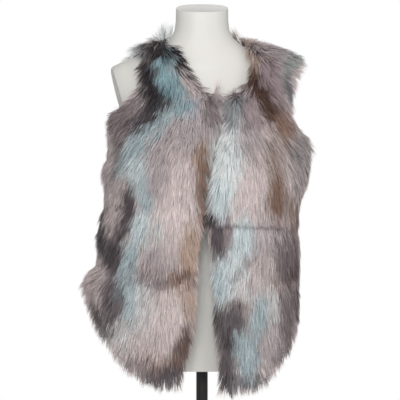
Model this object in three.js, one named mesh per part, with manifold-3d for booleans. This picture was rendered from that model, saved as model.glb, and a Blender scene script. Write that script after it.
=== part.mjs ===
// A sleeveless long-pile fur vest, worn open below the waist, on a limbless dress form with a
// short counter stand. Millimetres, +Z up, the wearer faces -Y and the wearer's left is +X.
// The origin is the middle of the stand's underside. The vest was put on a little askew, so its
// two sides have their own widths and edges.
import * as THREE from "three";
import Module from "manifold-3d";
import { mergeVertices } from "three/addons/utils/BufferGeometryUtils.js";

// Driving sizes
const BASE_RADIUS = 150;
const BASE_THICKNESS = 7;
const BASE_EDGE = 1.5; // chamfer round the plate
const BOSS_RADIUS = 24;
const BOSS_HEIGHT = 10;
const POST_RADIUS = 12.5;
const FORM_BOTTOM = 180; // height of the form's flat underside
const FORM_SIDES = 40;
const RING_SPACING = 40; // at most, between two sections of the form
const NECK_TOP = 945;
const NECK_TILT = 13; // degrees that the neck's flat top leans forward
const ARM_CUT = { x: 195, z: 820, lean: 14, turn: 10 }; // the flat cut where an arm would join
const SEAM_GAP = 0.4; // between two sewn pieces
const SECTION_POWER = 2.3; // 2 is an ellipse, more is squarer

// The form's cross-sections: half width, and depth before and behind the axis
const FORM = [
  { z: FORM_BOTTOM, half: 156, front: 92, back: 98 },
  { z: 250, half: 162, front: 94, back: 106 },
  { z: 330, half: 152, front: 90, back: 96 },
  { z: 400, half: 134, front: 84, back: 80 },
  { z: 450, half: 125, front: 82, back: 74 },
  { z: 520, half: 130, front: 88, back: 76 },
  { z: 590, half: 140, front: 98, back: 84 },
  { z: 640, half: 147, front: 104, back: 92 },
  { z: 690, half: 158, front: 100, back: 98 },
  { z: 730, half: 182, front: 90, back: 98 },
  { z: 765, half: 197, front: 79, back: 94 },
  { z: 790, half: 201, front: 70, back: 88 },
  { z: 810, half: 200, front: 63, back: 83 },
  { z: 822, half: 190, front: 59, back: 79 },
  { z: 836, half: 160, front: 56, back: 76 },
  { z: 847, half: 128, front: 54, back: 73 },
  { z: 858, half: 100, front: 52, back: 70 },
  { z: 869, half: 80, front: 51, back: 66 },
  { z: 881, half: 67, front: 50, back: 62 },
  { z: 897, half: 59, front: 49, back: 57 },
  { z: 918, half: 56, front: 48, back: 54 },
  { z: 975, half: 55.5, front: 48, back: 53 },
];
const BUST = { x: 72, z: 645, reach: 52, rise: 17 };

// The vest's backing cloth where it hangs free: how far each side stands from the axis
const DRAPE = [
  { z: 120, right: 228, left: 190, front: 136, back: 116 },
  { z: 320, right: 234, left: 190, front: 136, back: 116 },
  { z: 345, right: 234, left: 190, front: 135, back: 115 },
  { z: 387, right: 217, left: 190, front: 134, back: 114 },
  { z: 413, right: 210, left: 191, front: 133, back: 112 },
  { z: 460, right: 205, left: 190, front: 132, back: 110 },
  { z: 506, right: 197, left: 189, front: 131, back: 108 },
  { z: 555, right: 190, left: 196, front: 130, back: 105 },
  { z: 600, right: 191, left: 209, front: 130, back: 104 },
  { z: 635, right: 181, left: 210, front: 128, back: 104 },
  { z: 665, right: 181, left: 202, front: 122, back: 104 },
  { z: 690, right: 183, left: 186, front: 112, back: 104 },
  { z: 720, right: 183, left: 184, front: 98, back: 103 },
  { z: 750, right: 178, left: 180, front: 80, back: 90 },
  { z: 810, right: 90, left: 90, front: 50, back: 60 },
  { z: 975, right: 30, left: 30, front: 20, back: 20 },
];
const CLEARANCE = 3.9; // of the cloth outside the form, level with it and above it

// Soft folds in the cloth: a trough from one point to another, or a ridge where depth is negative
const FOLDS = [
  { side: "front", x1: 110, z1: 436, x2: 44, z2: 364, width: 16, depth: 8 },
  { side: "front", x1: 96, z1: 800, x2: 168, z2: 690, width: 18, depth: -5 },
  { side: "front", x1: -150, z1: 560, x2: -196, z2: 400, width: 17, depth: 7 },
  { side: "front", x1: -96, z1: 330, x2: -120, z2: 200, width: 20, depth: 5 },
  { side: "front", x1: 128, z1: 400, x2: 120, z2: 210, width: 19, depth: 6 },
  { side: "back", x1: -90, z1: 520, x2: -120, z2: 260, width: 22, depth: 7 },
  { side: "back", x1: 84, z1: 560, x2: 104, z2: 250, width: 22, depth: 7 },
  { side: "back", x1: -6, z1: 470, x2: 4, z2: 230, width: 26, depth: 6 },
];

// Pile, measured out from the backing
const PILE = 21;
const PILE_AT_SEAM = 17;
const PILE_AT_EDGE = 10;
const PILE_STANDS = 17; // higher where the cloth faces up, on the shoulders
const EDGE_ROUNDING = 26; // how far from a free edge the pile reaches its full height
const LOCK = { columns: 2, rows: 4, rise: 3.4, valley: -1.6 }; // shingled locks, in grid steps
const OVERHANG = { hem: 22, front: 7.4, neck: 9, armhole: 13 }; // of tips past the cloth's edge
const TOOTH = 0.42; // share of an overhang that comes and goes from lock to lock
const FRONT_TOOTH = 0.25; // the same along the front edges
const EDGE_PULL = [1, 0.55, 0.2]; // share of an overhang at the edge and one and two steps in
const EDGE_RELIEF = 0.4; // share of the locks' relief that is left at a free edge
const FRONT_LENGTH = 740; // along the cloth, hem to shoulder seam

const WHITE = { color: 0xe9e7e0, roughness: 0.35, metalness: 0 };
const BLACK = { color: 0x151515, roughness: 0.4, metalness: 0.6 };
const FUR = { color: 0xa79c9c, roughness: 0.9, metalness: 0 };

const radians = THREE.MathUtils.degToRad;
const mix = THREE.MathUtils.lerp;
const clamp = THREE.MathUtils.clamp;

// A column of a table as a smooth function of another column, with no overshoot
function smooth(rows, key, value) {
  const x = rows.map((row) => row[key]);
  const y = rows.map((row) => row[value]);
  const rise = x.slice(1).map((_, i) => (y[i + 1] - y[i]) / (x[i + 1] - x[i]));
  const slope = x.map((_, i) => {
    if (i === 0) return rise[0];
    if (i === rise.length) return rise[i - 1];
    return rise[i - 1] * rise[i] > 0 ? (2 * rise[i - 1] * rise[i]) / (rise[i - 1] + rise[i]) : 0;
  });
  return (at) => {
    const p = clamp(at, x[0], x[x.length - 1]);
    const i = clamp(x.findIndex((edge) => edge > p) - 1, 0, rise.length - 1);
    const last = p >= x[x.length - 1] ? rise.length - 1 : i;
    const span = x[last + 1] - x[last];
    const u = (p - x[last]) / span;
    const a = y[last] + slope[last] * span * u;
    const b = y[last + 1] - slope[last + 1] * span * (1 - u);
    const s = u * u * (3 - 2 * u);
    return a * (1 - s) + b * s;
  };
}

// The greater of two lengths, rounded where they meet
function softMax(a, b, blend = 8) {
  const gap = clamp(0.5 + (a - b) / (2 * blend), 0, 1);
  return mix(b, a, gap) + blend * gap * (1 - gap);
}

const formHalf = smooth(FORM, "z", "half");
const formFront = smooth(FORM, "z", "front");
const formBack = smooth(FORM, "z", "back");
const drape = Object.fromEntries(
  ["right", "left", "front", "back"].map((side) => [side, smooth(DRAPE, "z", side)]),
);

// A point of a cross-section. The angle runs from the wearer's left (0) by the front (90).
function sectionPoint(angle, z, right, left, front, back) {
  const c = Math.cos(radians(angle));
  const s = Math.sin(radians(angle));
  const across = Math.abs(c) ** (2 / SECTION_POWER) * (c > 0 ? left : -right);
  const along = Math.abs(s) ** (2 / SECTION_POWER) * (s > 0 ? -front : back);
  return new THREE.Vector3(across, along, z);
}

function formPoint(angle, z) {
  const point = sectionPoint(angle, z, formHalf(z), formHalf(z), formFront(z), formBack(z));
  if (point.y < 0) {
    for (const side of [-1, 1]) {
      const away = Math.hypot(point.x - side * BUST.x, z - BUST.z) / BUST.reach;
      point.y -= BUST.rise * Math.exp(-away * away);
    }
  }
  return point;
}

// The vest's backing rests on the form or hangs free, whichever stands further out
function clothSize(side, z) {
  const body = { right: formHalf, left: formHalf, front: formFront, back: formBack }[side];
  return softMax(body(z - CLEARANCE) + CLEARANCE, drape[side](z));
}

function foldDepth(point) {
  let depth = 0;
  for (const fold of FOLDS) {
    if (fold.side === "front" ? point.y > 0 : point.y < 0) continue;
    const run = { x: fold.x2 - fold.x1, z: fold.z2 - fold.z1 };
    const length = run.x * run.x + run.z * run.z;
    const share = ((point.x - fold.x1) * run.x + (point.z - fold.z1) * run.z) / length;
    const on = clamp(share, 0, 1);
    const away = Math.hypot(point.x - fold.x1 - on * run.x, point.z - fold.z1 - on * run.z);
    depth += fold.depth * Math.exp(-((away / fold.width) ** 2));
  }
  return depth;
}

function clothPoint(angle, z) {
  const sizes = ["right", "left", "front", "back"].map((side) => clothSize(side, z));
  const point = sectionPoint(angle, z, ...sizes);
  const inwards = new THREE.Vector3(-point.x, -point.y, 0).normalize();
  return point.addScaledVector(inwards, foldDepth(point));
}

function clothNormal(angle, z) {
  const turn = clothPoint(angle + 0.8, z).sub(clothPoint(angle - 0.8, z));
  const climb = clothPoint(angle, z + 2).sub(clothPoint(angle, z - 2));
  const normal = climb.cross(turn).normalize();
  return normal.multiplyScalar(Math.sign(normal.dot(clothPoint(angle, z).setZ(0))) || 1);
}

// The angle at which the cloth stands at x, at one height
function angleAt(x, z) {
  const half = clothSize(x > 0 ? "left" : "right", z);
  const share = clamp(Math.abs(x) / half, 0, 1) ** (SECTION_POWER / 2);
  return THREE.MathUtils.radToDeg(Math.acos(Math.sign(x) * share));
}

// Where the fronts meet, and how far they stand apart below the waist
const CLOSURE = [
  { z: 120, x: -20, apart: 45 },
  { z: 160, x: -12, apart: 42 },
  { z: 206, x: -4, apart: 36 },
  { z: 248, x: 0, apart: 29 },
  { z: 290, x: 4, apart: 21 },
  { z: 321, x: 4.5, apart: 17.5 },
  { z: 362, x: 5, apart: 15 },
  { z: 403, x: 5, apart: 12.5 },
  { z: 445, x: 5, apart: 10 },
  { z: 470, x: 5, apart: 7 },
  { z: 496, x: 3, apart: 0.8 },
  { z: 510, x: 3, apart: 0.6 },
  { z: 547, x: 8, apart: 0.6 },
  { z: 582, x: 13, apart: 0.6 },
  { z: 629, x: 22, apart: 0.6 },
  { z: 670, x: 31, apart: 0.6 },
  { z: 715, x: 42, apart: 0.6 },
  { z: 775, x: 40, apart: 0.6 },
];
const closureAt = smooth(CLOSURE, "z", "x");
const apartAt = smooth(CLOSURE, "z", "apart");

// Hem heights round the body, by the angle from the side seam
const HEM = [
  { angle: 0, rightFront: 358, leftFront: 296, rightBack: 358, leftBack: 296 },
  { angle: 18, rightFront: 318, leftFront: 262, rightBack: 322, leftBack: 276 },
  { angle: 33, rightFront: 272, leftFront: 226, rightBack: 284, leftBack: 258 },
  { angle: 44, rightFront: 243, leftFront: 200, rightBack: 260, leftBack: 246 },
  { angle: 53, rightFront: 206, leftFront: 176, rightBack: 244, leftBack: 238 },
  { angle: 62, rightFront: 184, leftFront: 164, rightBack: 232, leftBack: 230 },
  { angle: 71, rightFront: 174, leftFront: 161, rightBack: 223, leftBack: 223 },
  { angle: 80, rightFront: 173, leftFront: 163, rightBack: 219, leftBack: 219 },
  { angle: 90, rightFront: 200, leftFront: 178, rightBack: 218, leftBack: 218 },
];
const hem = Object.fromEntries(
  ["rightFront", "leftFront", "rightBack", "leftBack"].map((name) => [name, smooth(HEM, "angle", name)]),
);

// Edges of the fronts above the waist: the neckline, and the armhole up to the shoulder seam.
// A row at a share t of the panel runs from its inner edge to its outer edge.
const SIDE = 999; // an x that means the side seam or the shoulder's ridge
const SHARE_SEAM = 0.46; // of the way up, where the left front is pieced
const SHARE_ARMPIT = 0.66;
const SHARE_NECK = 0.79;
const LEFT_EDGES = [
  { t: 0, innerZ: 178, outerZ: 296, outerX: SIDE },
  { t: SHARE_SEAM, innerZ: 506, outerZ: 494, outerX: SIDE },
  { t: SHARE_ARMPIT, innerZ: 668, outerZ: 666, outerX: SIDE },
  { t: 0.72, innerZ: 712, outerZ: 704, outerX: 178 },
  { t: SHARE_NECK, innerZ: 757, outerZ: 740, outerX: 174 },
  { t: 0.85, innerZ: 771, innerX: 82, outerZ: 768, outerX: 176 },
  { t: 0.9, innerZ: 802, innerX: 99, outerZ: 792, outerX: 182 },
  { t: 0.95, innerZ: 838, innerX: 99, outerZ: 812, outerX: 190 },
  { t: 1, innerZ: 874, innerX: SIDE, outerZ: 826, outerX: SIDE },
];
const RIGHT_EDGES = [
  { t: 0, innerZ: 200, outerZ: 358, outerX: -SIDE },
  { t: SHARE_SEAM, innerZ: 506, outerZ: 520, outerX: -SIDE },
  { t: SHARE_ARMPIT, innerZ: 668, outerZ: 690, outerX: -SIDE },
  { t: 0.72, innerZ: 712, outerZ: 722, outerX: -172 },
  { t: SHARE_NECK, innerZ: 757, outerZ: 746, outerX: -146 },
  { t: 0.85, innerZ: 773, innerX: -4, outerZ: 772, outerX: -128 },
  { t: 0.9, innerZ: 804, innerX: -29, outerZ: 798, outerX: -120 },
  { t: 0.95, innerZ: 844, innerX: -52, outerZ: 828, outerX: -114 },
  { t: 1, innerZ: 884, innerX: -SIDE, outerZ: 855, outerX: -SIDE },
];
const BACK_ARMHOLE = [
  { t: 0, rightZ: 358, leftZ: 296, inset: 0 },
  { t: SHARE_ARMPIT, rightZ: 690, leftZ: 666, inset: 0 },
  { t: 0.72, rightZ: 718, leftZ: 698, inset: 18 },
  { t: SHARE_NECK, rightZ: 744, leftZ: 734, inset: 34 },
  { t: 0.85, rightZ: 768, leftZ: 764, inset: 40 },
  { t: 0.9, rightZ: 794, leftZ: 788, inset: 36 },
  { t: 0.95, rightZ: 824, leftZ: 810, inset: 26 },
];
const BACK_NECK_DIP = 12; // of the back neckline below the shoulder seams
const SEAM_SHARE = 0.2; // of the back's top edge that each shoulder seam takes

// A front's outline as angle and height, for a place s across it and t up it
function frontLayout(edges, hemFront, sign) {
  const free = OVERHANG.front;
  const rows = edges.map((row) => {
    const innerX =
      row.innerX ?? closureAt(row.innerZ) + sign * (apartAt(row.innerZ) + free);
    return {
      t: row.t,
      innerZ: row.innerZ,
      outerZ: row.outerZ,
      inner: Math.abs(innerX) === SIDE ? 90 - sign * 90 : angleAt(innerX, row.innerZ),
      outer: Math.abs(row.outerX) === SIDE ? 90 - sign * 90 : angleAt(row.outerX, row.outerZ),
    };
  });
  const table = Object.fromEntries(
    ["innerZ", "outerZ", "inner", "outer"].map((name) => [name, smooth(rows, "t", name)]),
  );
  return (s, t) => {
    const innerZ = table.innerZ(t);
    const inner =
      t < SHARE_NECK
        ? angleAt(closureAt(innerZ) + sign * (apartAt(innerZ) + free), innerZ)
        : table.inner(t);
    const angle = mix(inner, table.outer(t), s);
    let z = mix(innerZ, table.outerZ(t), s);
    const fade = clamp(1 - t / SHARE_SEAM, 0, 1);
    const fromSide = Math.min(Math.abs(angle), Math.abs(180 - angle));
    z += fade * (hemFront(fromSide) - mix(edges[0].innerZ, edges[0].outerZ, s));
    return { angle, z };
  };
}

// The back's outline: two armholes, two shoulder seams and the neckline between them
function backLayout() {
  const rightTip = RIGHT_EDGES.at(-1);
  const leftTip = LEFT_EDGES.at(-1);
  const edge = (tip, sign) => {
    const rows = BACK_ARMHOLE.map((row) => {
      const z = sign > 0 ? row.leftZ : row.rightZ;
      const x = clothSize(sign > 0 ? "left" : "right", z) - row.inset;
      const angle = angleAt(sign * x, z);
      return { t: row.t, z, away: sign > 0 ? angle : 180 - angle };
    });
    rows.push({ t: 1, z: tip.outerZ, away: 0 });
    return { z: smooth(rows, "t", "z"), away: smooth(rows, "t", "away") };
  };
  const right = edge(rightTip, -1);
  const left = edge(leftTip, 1);
  const top = (s) => {
    if (s < SEAM_SHARE) return { angle: 180, z: mix(rightTip.outerZ, rightTip.innerZ, s / SEAM_SHARE) };
    if (s > 1 - SEAM_SHARE)
      return { angle: 360, z: mix(leftTip.outerZ, leftTip.innerZ, (1 - s) / SEAM_SHARE) };
    const u = (s - SEAM_SHARE) / (1 - 2 * SEAM_SHARE);
    const dip = BACK_NECK_DIP * Math.sin(Math.PI * u) ** 0.6;
    return { angle: mix(180, 360, u), z: mix(rightTip.innerZ, leftTip.innerZ, u) - dip };
  };
  return (s, t) => {
    const angle = mix(180 + right.away(t), 360 - left.away(t), s);
    const z = mix(right.z(t), left.z(t), s);
    const fade = clamp(1 - t / SHARE_ARMPIT, 0, 1);
    const hemBack = angle < 270 ? hem.rightBack(angle - 180) : hem.leftBack(360 - angle);
    const drop = fade * (hemBack - mix(HEM[0].rightBack, HEM[0].leftBack, s));
    const rise = clamp((t - SHARE_ARMPIT) / (1 - SHARE_ARMPIT), 0, 1) ** 1.6;
    const end = top(s);
    return {
      angle: angle + rise * (end.angle - mix(180, 360, s)),
      z: z + drop + rise * (end.z - mix(rightTip.outerZ, leftTip.outerZ, s)),
    };
  };
}

// A number from 0 to 1 that looks random but is always the same for the same place
function scatter(i, j) {
  const wave = Math.sin(i * 127.1 + j * 311.7) * 43758.5453;
  return wave - Math.floor(wave);
}

// Locks lie like shingles: each rises to its tip, and the next row starts under it
function lockRise(i, j) {
  const stagger = Math.floor(j / LOCK.rows) % 2;
  const ridge = (i + stagger) % LOCK.columns === 0;
  const fall = 1 - (j % LOCK.rows) / LOCK.rows;
  return (ridge ? LOCK.rise : LOCK.valley) * fall * (0.6 + 0.8 * scatter(i, Math.floor(j / LOCK.rows)));
}

// A fur panel: a wall from the backing cloth out to the tips of the pile. edges says what each
// side of the panel is: sewn, or free with tips that overhang it.
function furPanel({ name, side, layout, columns, rows, from = 0, to = 1, edges, seed }) {
  const grid = [];
  for (let j = 0; j <= rows; j++) {
    const t = mix(from, to, j / rows);
    grid.push(
      Array.from({ length: columns + 1 }, (_, i) => {
        const { angle, z } = layout(i / columns, t);
        return { root: clothPoint(angle, z), normal: clothNormal(angle, z) };
      }),
    );
  }
  // Distances along the cloth to the four edges
  for (const row of grid) {
    let run = 0;
    row.forEach((cell, i) => {
      if (i) run += cell.root.distanceTo(row[i - 1].root);
      cell.inner = run;
    });
    for (const cell of row) cell.outer = run - cell.inner;
  }
  for (let i = 0; i <= columns; i++) {
    let run = 0;
    for (let j = 0; j <= rows; j++) {
      if (j) run += grid[j][i].root.distanceTo(grid[j - 1][i].root);
      grid[j][i].bottom = run;
    }
    for (let j = 0; j <= rows; j++) grid[j][i].top = run - grid[j][i].bottom;
  }
  const kindAt = (side, i, j) => {
    const kind = edges[side];
    return typeof kind === "function" ? kind(i / columns, mix(from, to, j / rows)) : kind;
  };
  const outward = (i, j) => {
    const at = (ii, jj) => grid[clamp(jj, 0, rows)][clamp(ii, 0, columns)].root;
    const across = at(i + 1, j).clone().sub(at(i - 1, j)).normalize();
    const along = at(i, j + 1).clone().sub(at(i, j - 1)).normalize();
    return { across, along };
  };
  const tip = (i, j) => {
    const cell = grid[j][i];
    const { across, along } = outward(i, j);
    const sides = [
      { side: "inner", step: i, away: cell.inner, way: across.clone().negate() },
      { side: "outer", step: columns - i, away: cell.outer, way: across },
      { side: "bottom", step: j, away: cell.bottom, way: along.clone().negate() },
      { side: "top", step: rows - j, away: cell.top, way: along },
    ];
    let height = PILE;
    let relief = 1;
    const reach = new THREE.Vector3();
    for (const { side, step, away, way } of sides) {
      const kind = kindAt(side, i, j);
      if (kind === "sewn") {
        if (step === 0) height = Math.min(height, PILE_AT_SEAM);
        if (step === 0) relief = 0;
        continue;
      }
      const inside = clamp(away / EDGE_ROUNDING, 0, 1);
      const round = Math.sqrt(1 - (1 - inside) ** 2);
      height = Math.min(height, mix(PILE_AT_EDGE, PILE, round));
      const pull = EDGE_PULL[step] ?? 0;
      if (!pull) continue;
      const place = side === "bottom" || side === "top" ? i : j;
      const tooth = 1 - (kind === "front" ? FRONT_TOOTH : TOOTH) * scatter(place + seed, 7);
      reach.addScaledVector(way, OVERHANG[kind] * pull * tooth);
      if (step === 0) relief = Math.min(relief, EDGE_RELIEF);
    }
    const sewnEnds = sides.some(({ side, step }) => step === 0 && kindAt(side, i, j) === "sewn");
    if (sewnEnds) {
      // A sewn edge keeps its plane, so only pull along it is kept
      for (const { side, step, way } of sides)
        if (step === 0 && kindAt(side, i, j) === "sewn") reach.projectOnPlane(way);
    }
    height += relief * lockRise(i + seed, j) + PILE_STANDS * Math.max(cell.normal.z, 0);
    return cell.root.clone().addScaledVector(cell.normal, height).add(reach);
  };
  const positions = [];
  const add = ({ x, y, z }) => {
    const kept = side === "front" ? Math.min(y, -SEAM_GAP / 2) : Math.max(y, SEAM_GAP / 2);
    return positions.push(x, kept, z) / 3 - 1;
  };
  const outerGrid = grid.map((row, j) => row.map((_, i) => add(tip(i, j))));
  const innerGrid = grid.map((row) => row.filter((_, i) => i % 2 === 0).map((cell) => add(cell.root)));
  const faces = [];
  const quad = (a, b, c, d) => faces.push(a, b, c, a, c, d);
  const half = columns / 2;
  for (let j = 0; j < rows; j++) {
    for (let i = 0; i < columns; i++)
      quad(outerGrid[j][i], outerGrid[j][i + 1], outerGrid[j + 1][i + 1], outerGrid[j + 1][i]);
    for (let i = 0; i < half; i++)
      quad(innerGrid[j][i], innerGrid[j + 1][i], innerGrid[j + 1][i + 1], innerGrid[j][i + 1]);
    quad(innerGrid[j][0], outerGrid[j][0], outerGrid[j + 1][0], innerGrid[j + 1][0]);
    quad(innerGrid[j + 1][half], outerGrid[j + 1][columns], outerGrid[j][columns], innerGrid[j][half]);
  }
  for (let i = 0; i < half; i++) {
    const low = [outerGrid[0][2 * i], outerGrid[0][2 * i + 1], outerGrid[0][2 * i + 2]];
    const high = [outerGrid[rows][2 * i], outerGrid[rows][2 * i + 1], outerGrid[rows][2 * i + 2]];
    const a = innerGrid[0][i];
    const b = innerGrid[0][i + 1];
    faces.push(a, low[1], low[0], a, b, low[1], b, low[2], low[1]);
    const c = innerGrid[rows][i];
    const d = innerGrid[rows][i + 1];
    faces.push(c, high[0], high[1], c, high[1], d, d, high[1], high[2]);
  }
  const geometry = new THREE.BufferGeometry();
  geometry.setAttribute("position", new THREE.Float32BufferAttribute(positions, 3));
  geometry.setIndex(faces);
  if (volumeOf(geometry) < 0) geometry.setIndex(faces.reverse());
  return piece(name, geometry, FUR);
}

function volumeOf(geometry) {
  const p = geometry.getAttribute("position");
  const [a, b, c] = [new THREE.Vector3(), new THREE.Vector3(), new THREE.Vector3()];
  let total = 0;
  for (let i = 0; i < geometry.index.count; i += 3) {
    a.fromBufferAttribute(p, geometry.index.getX(i));
    b.fromBufferAttribute(p, geometry.index.getX(i + 1));
    c.fromBufferAttribute(p, geometry.index.getX(i + 2));
    total += a.dot(b.clone().cross(c)) / 6;
  }
  return total;
}

function piece(name, geometry, finish) {
  geometry.computeVertexNormals();
  const mesh = new THREE.Mesh(geometry, new THREE.MeshStandardMaterial(finish));
  mesh.name = name;
  return mesh;
}

// A closed body through rings of points, with flat ends
function loft(rings) {
  const count = rings[0].length;
  const points = rings.flat();
  const positions = points.flatMap((point) => [point.x, point.y, point.z]);
  const faces = [];
  for (let j = 0; j + 1 < rings.length; j++)
    for (let i = 0; i < count; i++) {
      const next = (i + 1) % count;
      const [a, b, c, d] = [j * count + i, j * count + next, (j + 1) * count + next, (j + 1) * count + i];
      faces.push(a, b, c, a, c, d);
    }
  const ends = [rings[0], rings[rings.length - 1]];
  ends.forEach((ring, end) => {
    const middle = ring.reduce((sum, p) => sum.add(p), new THREE.Vector3()).divideScalar(count);
    const hub = positions.push(middle.x, middle.y, middle.z) / 3 - 1;
    const start = end ? (rings.length - 1) * count : 0;
    for (let i = 0; i < count; i++) {
      const [a, b] = [start + i, start + ((i + 1) % count)];
      faces.push(...(end ? [a, b, hub] : [b, a, hub]));
    }
  });
  const geometry = new THREE.BufferGeometry();
  geometry.setAttribute("position", new THREE.Float32BufferAttribute(positions, 3));
  geometry.setIndex(faces);
  if (volumeOf(geometry) < 0) geometry.setIndex(faces.reverse());
  return geometry;
}

const wasm = await Module();
wasm.setup();

function solidOf(geometry) {
  const bare = geometry.clone();
  bare.deleteAttribute("normal");
  bare.deleteAttribute("uv");
  const merged = mergeVertices(bare, 1e-4);
  return new wasm.Manifold(
    new wasm.Mesh({
      numProp: 3,
      vertProperties: merged.attributes.position.array,
      triVerts: new Uint32Array(merged.index.array),
    }),
  );
}

function geometryOf(solid) {
  const mesh = solid.getMesh();
  const geometry = new THREE.BufferGeometry();
  geometry.setAttribute("position", new THREE.BufferAttribute(mesh.vertProperties, 3));
  geometry.setIndex(new THREE.BufferAttribute(mesh.triVerts, 1));
  return geometry;
}

// The form: a smooth torso, cut flat at both arms and at the tilted top of the neck
function dressForm() {
  const heights = [FORM[0].z];
  FORM.slice(1).forEach((row, i) => {
    const steps = Math.ceil((row.z - FORM[i].z) / RING_SPACING);
    for (let k = 1; k <= steps; k++) heights.push(mix(FORM[i].z, row.z, k / steps));
  });
  const rings = heights.map((z) =>
    Array.from({ length: FORM_SIDES }, (_, i) => formPoint((i / FORM_SIDES) * 360, z)),
  );
  let body = solidOf(loft(rings));
  const block = new THREE.BoxGeometry(120, 400, 400);
  for (const side of [-1, 1]) {
    const cutter = block.clone().translate(side * 60, 0, 0);
    cutter.rotateY(radians(side * ARM_CUT.lean));
    cutter.rotateZ(radians(-side * ARM_CUT.turn));
    cutter.translate(side * ARM_CUT.x, 0, ARM_CUT.z);
    body = body.subtract(solidOf(cutter));
  }
  const lid = new THREE.BoxGeometry(300, 300, 80).translate(0, 0, 40);
  lid.rotateX(radians(NECK_TILT)).translate(0, 0, NECK_TOP);
  body = body.subtract(solidOf(lid));
  return piece("dress_form", geometryOf(body), WHITE);
}

function turned(name, profile, finish, segments) {
  const outline = profile.map(([r, z]) => new THREE.Vector2(r, z));
  const geometry = new THREE.LatheGeometry(outline, segments);
  geometry.rotateX(Math.PI / 2);
  return piece(name, geometry, finish);
}

function stand() {
  const top = BASE_THICKNESS + BOSS_HEIGHT;
  const base = turned(
    "stand_base",
    [
      [0, 0],
      [BASE_RADIUS - BASE_EDGE, 0],
      [BASE_RADIUS, BASE_EDGE],
      [BASE_RADIUS, BASE_THICKNESS - BASE_EDGE],
      [BASE_RADIUS - BASE_EDGE, BASE_THICKNESS],
      [BOSS_RADIUS, BASE_THICKNESS],
      [BOSS_RADIUS - BASE_EDGE, top],
      [0, top],
    ],
    BLACK,
    48,
  );
  const post = turned(
    "stand_post",
    [
      [0, top],
      [POST_RADIUS, top],
      [POST_RADIUS, FORM_BOTTOM],
      [0, FORM_BOTTOM],
    ],
    BLACK,
    24,
  );
  return [base, post];
}

const frontEdges = {
  inner: (s, t) => (t > SHARE_NECK ? "neck" : "front"),
  outer: (s, t) => (t <= SHARE_ARMPIT ? "sewn" : "armhole"),
  bottom: "hem",
  top: "sewn",
};
const leftLayout = frontLayout(LEFT_EDGES, hem.leftFront, 1);
const rightLayout = frontLayout(RIGHT_EDGES, hem.rightFront, -1);
const seamGapShare = SEAM_GAP / 2 / FRONT_LENGTH;

const vest = [
  furPanel({
    name: "right_front",
    side: "front",
    layout: rightLayout,
    columns: 16,
    rows: 46,
    edges: frontEdges,
    seed: 3,
  }),
  furPanel({
    name: "left_front_lower",
    side: "front",
    layout: leftLayout,
    columns: 16,
    rows: 20,
    to: SHARE_SEAM - seamGapShare,
    edges: frontEdges,
    seed: 12,
  }),
  furPanel({
    name: "left_front_upper",
    side: "front",
    layout: leftLayout,
    columns: 16,
    rows: 26,
    from: SHARE_SEAM + seamGapShare,
    edges: { ...frontEdges, bottom: "sewn" },
    seed: 24,
  }),
  furPanel({
    name: "back",
    side: "back",
    layout: backLayout(),
    columns: 32,
    rows: 42,
    edges: {
      inner: (s, t) => (t <= SHARE_ARMPIT ? "sewn" : "armhole"),
      outer: (s, t) => (t <= SHARE_ARMPIT ? "sewn" : "armhole"),
      bottom: "hem",
      top: (s) => (s < SEAM_SHARE || s > 1 - SEAM_SHARE ? "sewn" : "neck"),
    },
    seed: 41,
  }),
];

const part = new THREE.Group();
part.add(...vest, dressForm(), ...stand());

export default part;
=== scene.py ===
"""A long-pile faux fur vest on a limbless dress form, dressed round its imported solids."""

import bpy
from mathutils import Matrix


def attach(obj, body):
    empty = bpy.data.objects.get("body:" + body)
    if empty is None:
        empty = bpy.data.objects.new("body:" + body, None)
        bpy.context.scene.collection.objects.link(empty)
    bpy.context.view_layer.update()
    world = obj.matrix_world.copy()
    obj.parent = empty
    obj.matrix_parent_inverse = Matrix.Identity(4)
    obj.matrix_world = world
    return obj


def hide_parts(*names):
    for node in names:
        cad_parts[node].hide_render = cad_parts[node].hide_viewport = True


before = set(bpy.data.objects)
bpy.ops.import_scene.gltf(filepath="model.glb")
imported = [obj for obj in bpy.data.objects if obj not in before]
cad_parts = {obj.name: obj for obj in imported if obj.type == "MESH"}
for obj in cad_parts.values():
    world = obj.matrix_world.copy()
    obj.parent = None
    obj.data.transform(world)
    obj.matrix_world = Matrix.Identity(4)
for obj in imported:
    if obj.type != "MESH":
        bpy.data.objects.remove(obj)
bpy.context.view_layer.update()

import logging
import math
from dataclasses import dataclass, field
from enum import Enum
from typing import Any, Sequence

import bmesh
import bpy
import numpy as np
from bpy.types import ID, Material, Mesh, Node, NodeSocket, Object
from mathutils import Vector
from mathutils.bvhtree import BVHTree
from mathutils.kdtree import KDTree

log = logging.getLogger("vest")
Array = np.ndarray
Rgba = tuple[float, float, float, float]
MM = 0.001
UP = Vector((0.0, 0.0, 1.0))


class DyeAndShade(Enum):
    """The colours of the fur, and of the shade painted on it, in sRGB from 0 to 255."""

    INK = (31, 25, 30)
    COAL = (66, 58, 63)
    SLATE = (92, 94, 97)
    STORM = (122, 130, 133)
    DUSK = (114, 102, 104)
    PLUM = (136, 120, 124)
    MAUVE = (148, 136, 138)
    ASH = (164, 154, 155)
    ROSE = (178, 166, 164)
    BLUSH = (192, 180, 178)
    SILVER = (182, 181, 180)
    ICE = (198, 202, 202)
    MIST = (180, 190, 192)
    SKY = (152, 167, 171)
    TEAL = (126, 156, 163)
    LILAC = (162, 163, 170)
    SAGE = (146, 152, 150)
    TAN = (162, 138, 123)
    TAUPE = (142, 125, 117)
    BROWN = (121, 94, 81)
    UMBER = (74, 51, 42)

    def linear(self) -> Array:
        """The colour in linear light."""
        srgb = np.array(self.value, float) / 255
        return np.where(srgb <= 0.04045, srgb / 12.92, ((srgb + 0.055) / 1.055) ** 2.4)


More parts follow.
